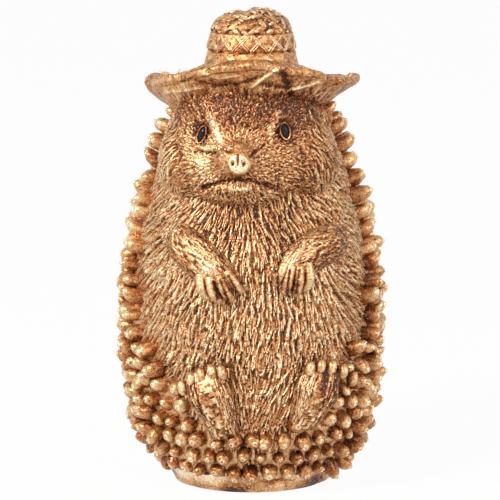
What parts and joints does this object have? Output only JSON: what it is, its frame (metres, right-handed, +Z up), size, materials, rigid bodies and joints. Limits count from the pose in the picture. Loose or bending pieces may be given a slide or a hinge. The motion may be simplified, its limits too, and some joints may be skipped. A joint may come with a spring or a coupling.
{
  "type": "hedgehog figurine",
  "caption": "Seated hedgehog ornament in a wide straw hat, cast in resin with an antique gold finish, standing on a flat round base.",
  "frame": {"origin": "centre of the flat underside of the base", "axes": "+Z up, the animal faces -Y, its own left is +X"},
  "size_m": [0.074, 0.0748, 0.13],
  "materials": {
    "antique_gold_fur": "satin",
    "antique_gold_spines": "satin",
    "antique_gold_straw": "satin",
    "antique_gold_smooth": "satin",
    "black_eye_enamel": "gloss"
  },
  "bodies": {
    "root": {"base_rim": "antique_gold_smooth", "body": "antique_gold_fur", "head": "antique_gold_fur", "muzzle": "antique_gold_fur", "lower_jaw": "antique_gold_fur", "nose": "antique_gold_smooth", "left_eye": "black_eye_enamel", "right_eye": "black_eye_enamel", "left_ear": "antique_gold_fur", "right_ear": "antique_gold_fur", "hat_brim": "antique_gold_straw", "hat_crown": "antique_gold_straw", "hat_band": "antique_gold_straw", "left_arm": "antique_gold_fur", "right_arm": "antique_gold_fur", "left_paw": "antique_gold_fur", "right_paw": "antique_gold_fur", "left_fingers": "antique_gold_smooth", "right_fingers": "antique_gold_smooth", "left_foot": "antique_gold_smooth", "right_foot": "antique_gold_smooth", "left_toes": "antique_gold_smooth", "right_toes": "antique_gold_smooth", "spines_front": "antique_gold_spines", "spines_left": "antique_gold_spines", "spines_right": "antique_gold_spines", "spines_back": "antique_gold_spines", "spines_nape": "antique_gold_spines", "belly_fur_locks": "antique_gold_fur"}
  },
  "joints": []
}
